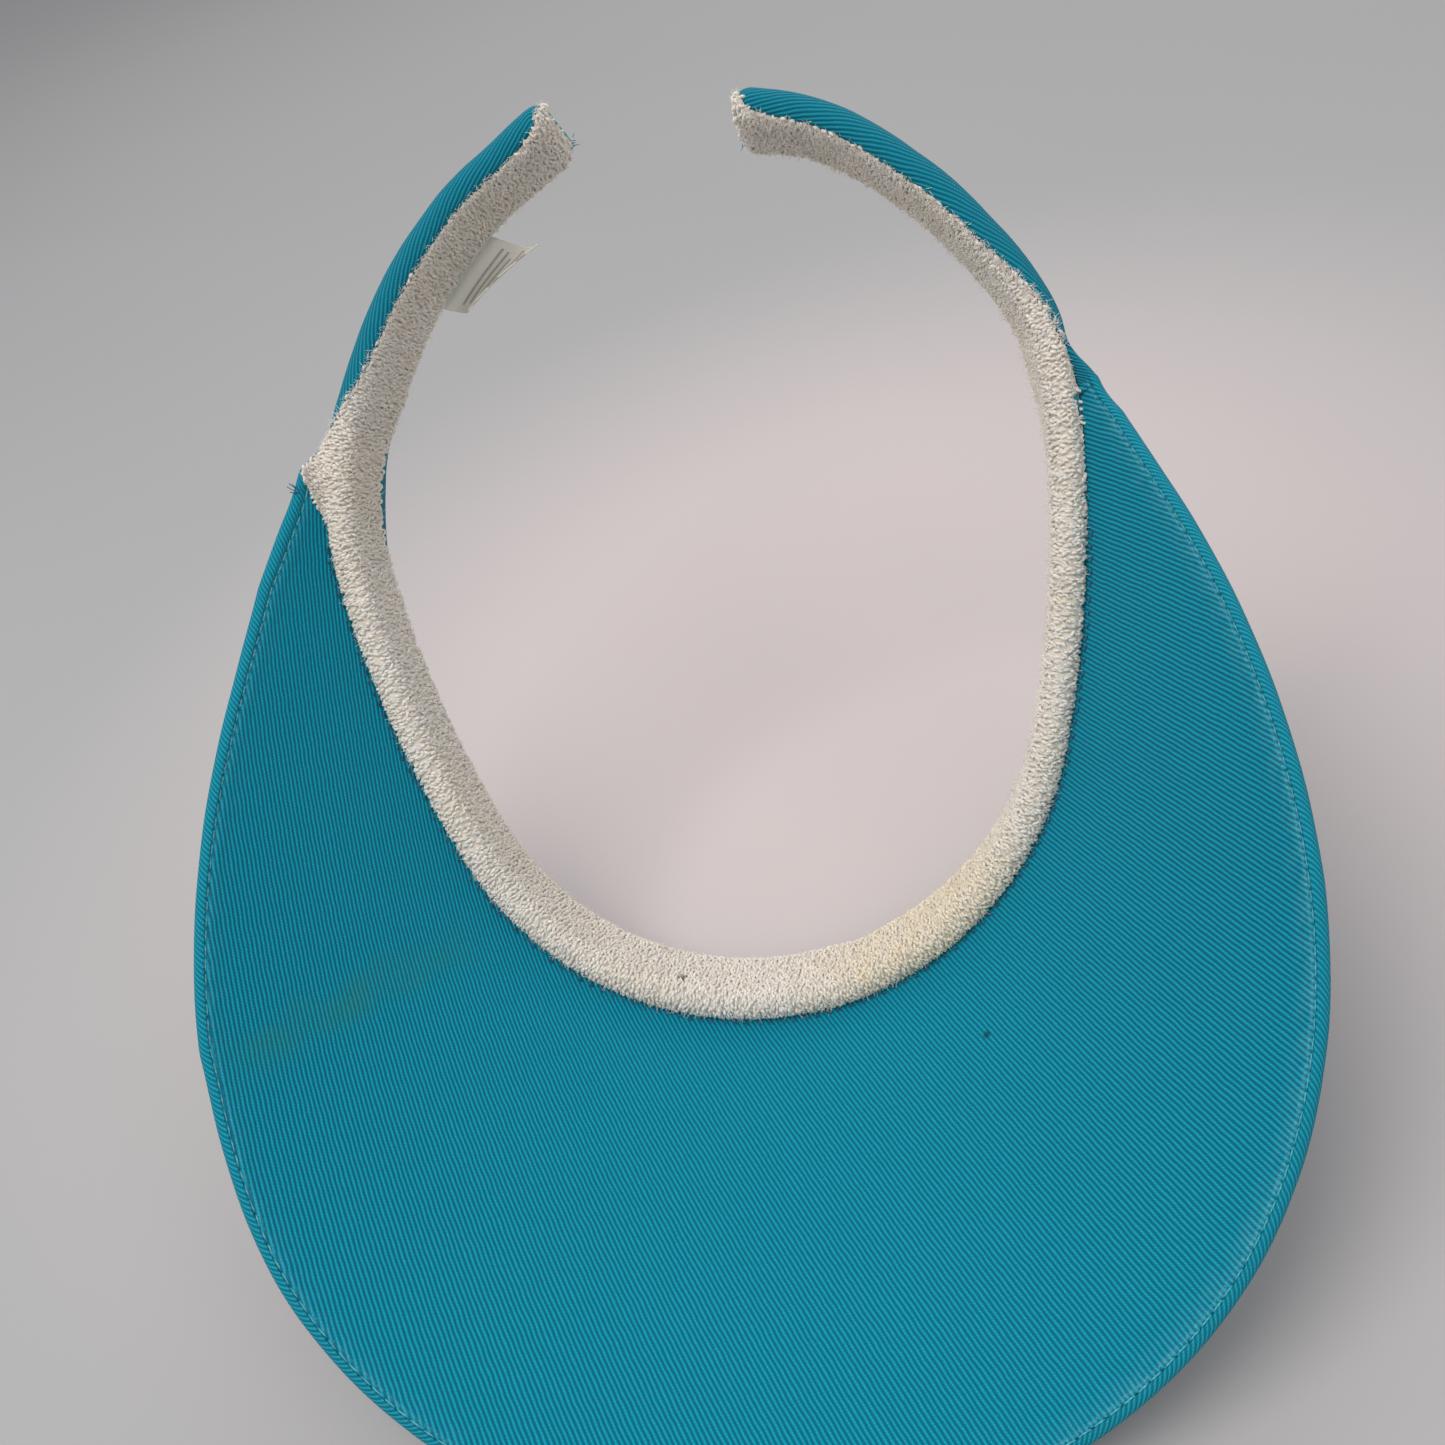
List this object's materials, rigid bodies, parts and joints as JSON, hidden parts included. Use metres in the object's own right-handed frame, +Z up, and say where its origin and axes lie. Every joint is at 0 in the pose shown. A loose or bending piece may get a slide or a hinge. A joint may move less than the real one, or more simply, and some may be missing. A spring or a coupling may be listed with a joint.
{
  "type": "slip-on sun visor",
  "caption": "Slip-on sun visor: a padded, towelling-lined spring band open at the back of the head, with a wide curved bill bound along its edge.",
  "frame": {"origin": "on the surface it lies on, under the middle of its bounding box", "axes": "+Z up, -Y towards the front of the bill, +X towards the arm without the label; the visor lies on the front of its upturned bill"},
  "size_m": [0.1952, 0.2176, 0.1543],
  "materials": {
    "board": "plain",
    "foam": "matt open foam",
    "twill": "cotton twill, matt",
    "binding": "cotton twill cut on the bias, matt",
    "teal_thread": "spun thread",
    "navy_thread": "spun thread",
    "strip": "springy plastic strip",
    "terry": "looped cotton towelling",
    "satin": "woven satin"
  },
  "bodies": {
    "bill": {"bill_board": "board", "bill_foam": "foam", "bill_top_cover": "twill", "bill_under_cover": "twill", "bill_edge_binding": "binding", "binding_stitches": "teal_thread", "front_spring_strip": "strip", "front_core": "foam", "front_band_cover": "twill", "front_sweatband": "terry", "seam_stitches": "navy_thread"},
    "left_arm": {"left_spring_strip": "strip", "left_arm_core": "foam", "left_arm_cover": "twill", "left_arm_towelling": "terry", "left_tip_stitches": "teal_thread", "care_label": "satin", "label_stitches": "teal_thread"},
    "right_arm": {"right_spring_strip": "strip", "right_arm_core": "foam", "right_arm_cover": "twill", "right_arm_towelling": "terry", "right_tip_stitches": "teal_thread"}
  },
  "joints": [
    {"name": "left_arm_flex", "type": "hinge", "parent": "bill", "child": "left_arm", "pos_m": [-0.07097, 0.0703, 0.10345], "axis": [0, -0.8099, 0.5865], "range_deg": [-12, 6], "stiffness_Nm_per_rad": 0.6},
    {"name": "right_arm_flex", "type": "hinge", "parent": "bill", "child": "right_arm", "pos_m": [0.07097, 0.0703, 0.10345], "axis": [0, -0.8099, 0.5865], "range_deg": [-6, 12], "stiffness_Nm_per_rad": 0.6}
  ]
}
